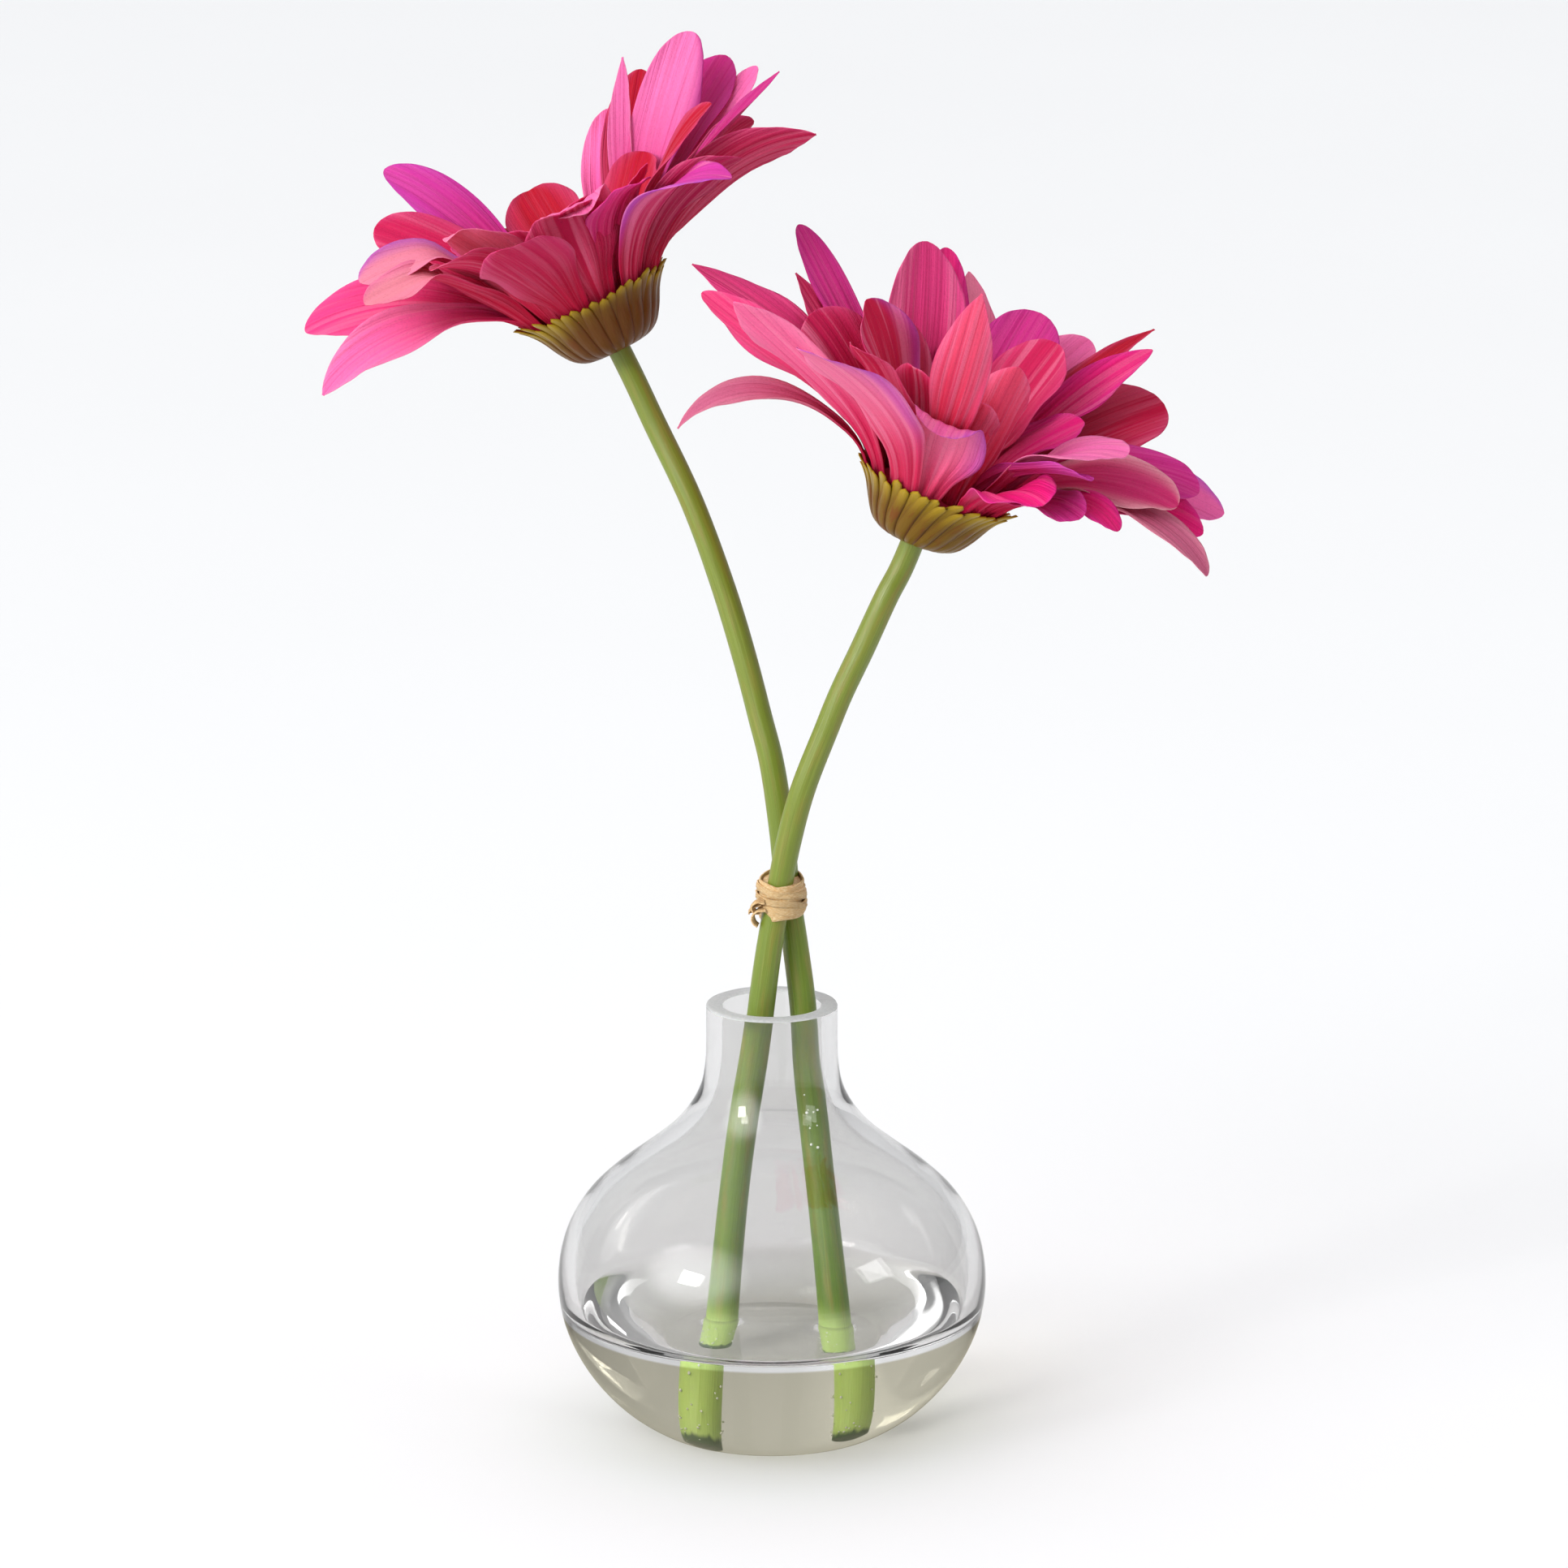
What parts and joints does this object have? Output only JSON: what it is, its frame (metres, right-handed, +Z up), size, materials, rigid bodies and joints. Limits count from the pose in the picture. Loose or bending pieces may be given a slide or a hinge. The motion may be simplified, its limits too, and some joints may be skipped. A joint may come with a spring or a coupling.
{
  "type": "artificial gerberas in a glass bud vase",
  "caption": "Artificial gerbera daisies in a round glass bud vase, their stems tied with raffia and set in clear resin that looks like water.",
  "frame": {"origin": "centre of the vase's flat base", "axes": "+Z up along the vase's axis; -Y towards the viewer of the picture; +X to the viewer's right"},
  "size_m": [0.1804, 0.129, 0.2697],
  "materials": {
    "glass": "polished",
    "resin": "gloss",
    "stem": "satin",
    "calyx": "satin",
    "petal": "matte",
    "disc": "matte",
    "raffia": "matte"
  },
  "bodies": {
    "root": {"vase": "glass", "resin": "resin", "stem_left": "stem", "calyx_left": "calyx", "petals_left": "petal", "disc_left": "disc", "stem_right": "stem", "calyx_right": "calyx", "petals_right": "petal", "disc_right": "disc", "raffia_tie": "raffia"}
  },
  "joints": []
}
